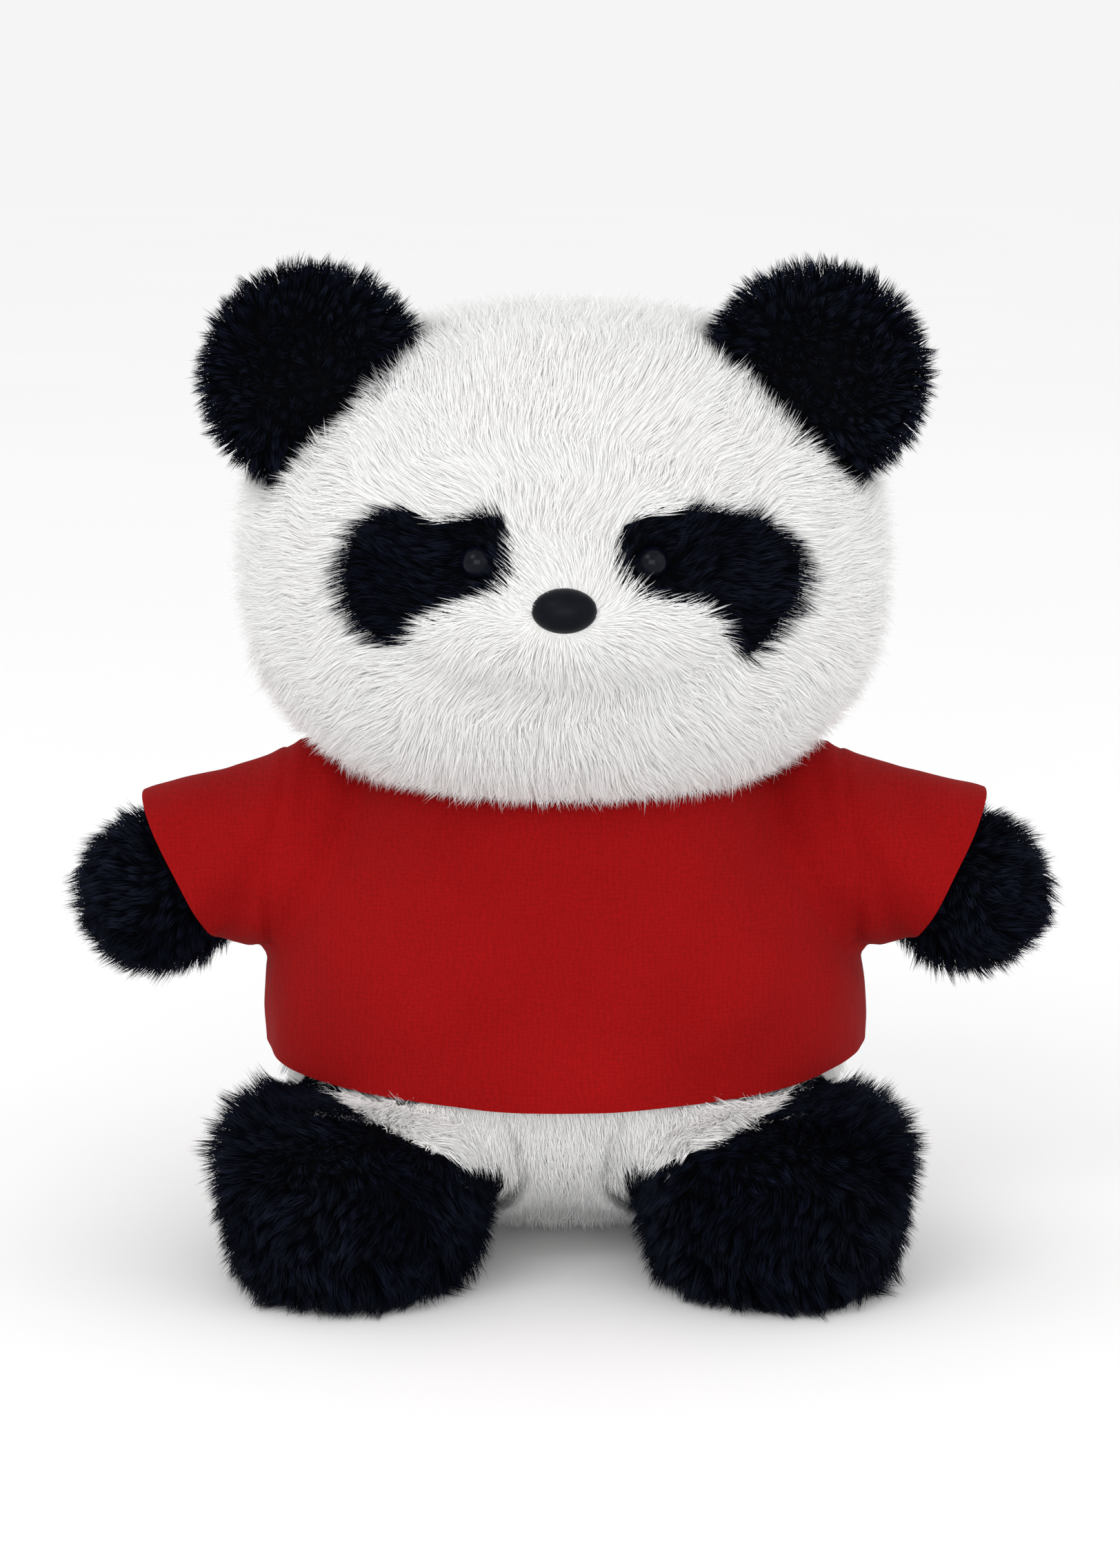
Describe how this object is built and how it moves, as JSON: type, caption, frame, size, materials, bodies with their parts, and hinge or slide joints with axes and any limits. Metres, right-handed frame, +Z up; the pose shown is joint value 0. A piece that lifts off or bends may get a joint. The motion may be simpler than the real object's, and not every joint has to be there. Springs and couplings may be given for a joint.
{
  "type": "plush panda",
  "caption": "Seated soft toy panda with round ears, eye patches, stuffed limbs and a short-sleeved shirt, for play or display.",
  "frame": {"origin": "the middle of the seat, on the surface that the panda sits on", "axes": "+Z up, -Y the way the panda faces, +X to the panda's own left"},
  "size_m": [0.2428, 0.1567, 0.244],
  "materials": {
    "white_fur": "soft white pile of about 8 mm",
    "black_fur": "soft blue-black pile of about 8 mm",
    "shirt_jersey": "fine matt knit",
    "closure_tape": "hook and loop tape",
    "fibre_fill": "loose polyester fibre",
    "pouch_cloth": "plain woven lining",
    "pellets": "small plastic pellets",
    "eye_plastic": "moulded, glossy black",
    "washer_plastic": "moulded, white"
  },
  "bodies": {
    "torso": {"belly_panel": "white_fur", "back_left": "white_fur", "back_right": "white_fur", "seat_panel": "white_fur", "torso_stuffing": "fibre_fill", "pellet_pouch": "pouch_cloth", "pellet_fill": "pellets", "tail": "white_fur", "shirt_front": "shirt_jersey", "shirt_back_left": "shirt_jersey", "shirt_back_right": "shirt_jersey", "closure_hook": "closure_tape", "closure_loop": "closure_tape"},
    "neck": {"neck_stuffing": "fibre_fill"},
    "head": {"face_panel": "white_fur", "muzzle_panel": "white_fur", "eye_patch_left": "black_fur", "eye_patch_right": "black_fur", "head_back_left": "white_fur", "head_back_right": "white_fur", "head_stuffing": "fibre_fill", "eye_left": "eye_plastic", "eye_right": "eye_plastic", "eye_washer_left": "washer_plastic", "eye_washer_right": "washer_plastic", "nose": "eye_plastic", "nose_washer": "washer_plastic"},
    "ear_left": {"ear_left_front": "black_fur", "ear_left_back": "black_fur"},
    "ear_right": {"ear_right_front": "black_fur", "ear_right_back": "black_fur"},
    "arm_left": {"sleeve_left": "shirt_jersey", "arm_left_front": "black_fur", "arm_left_back": "black_fur", "arm_left_stuffing": "fibre_fill"},
    "arm_right": {"sleeve_right": "shirt_jersey", "arm_right_front": "black_fur", "arm_right_back": "black_fur", "arm_right_stuffing": "fibre_fill"},
    "leg_left": {"leg_left_upper": "black_fur", "leg_left_sole": "black_fur", "leg_left_stuffing": "fibre_fill"},
    "leg_right": {"leg_right_upper": "black_fur", "leg_right_sole": "black_fur", "leg_right_stuffing": "fibre_fill"}
  },
  "joints": [
    {"name": "head_turn", "type": "hinge", "parent": "torso", "child": "neck", "pos_m": [0, -0.016, 0.109], "axis": [0, 0, 1], "range_deg": [-12, 12], "stiffness_Nm_per_rad": 0.3},
    {"name": "head_nod", "type": "hinge", "parent": "neck", "child": "head", "pos_m": [0, -0.016, 0.171], "axis": [1, 0, 0], "range_deg": [-8, 8], "stiffness_Nm_per_rad": 0.6},
    {"name": "ear_left_fold", "type": "hinge", "parent": "head", "child": "ear_left", "pos_m": [0.05056, -0.03398, 0.20634], "axis": [0.7396, 0, -0.673], "range_deg": [-12, 12], "stiffness_Nm_per_rad": 0.05},
    {"name": "ear_right_fold", "type": "hinge", "parent": "head", "child": "ear_right", "pos_m": [-0.05056, -0.03398, 0.20634], "axis": [0.7396, 0, 0.673], "range_deg": [-12, 12], "stiffness_Nm_per_rad": 0.05},
    {"name": "arm_left_raise", "type": "hinge", "parent": "torso", "child": "arm_left", "pos_m": [0.064, -0.004, 0.0965], "axis": [0, -1, 0], "range_deg": [-8, 30], "stiffness_Nm_per_rad": 0.4},
    {"name": "arm_right_raise", "type": "hinge", "parent": "torso", "child": "arm_right", "pos_m": [-0.064, -0.004, 0.0965], "axis": [0, 1, 0], "range_deg": [-8, 30], "stiffness_Nm_per_rad": 0.4},
    {"name": "leg_left_splay", "type": "hinge", "parent": "torso", "child": "leg_left", "pos_m": [0.044, -0.033, 0.0235], "axis": [0, 0, 1], "range_deg": [-5, 10], "stiffness_Nm_per_rad": 0.2},
    {"name": "leg_right_splay", "type": "hinge", "parent": "torso", "child": "leg_right", "pos_m": [-0.044, -0.033, 0.0235], "axis": [0, 0, -1], "range_deg": [-5, 10], "stiffness_Nm_per_rad": 0.2}
  ]
}
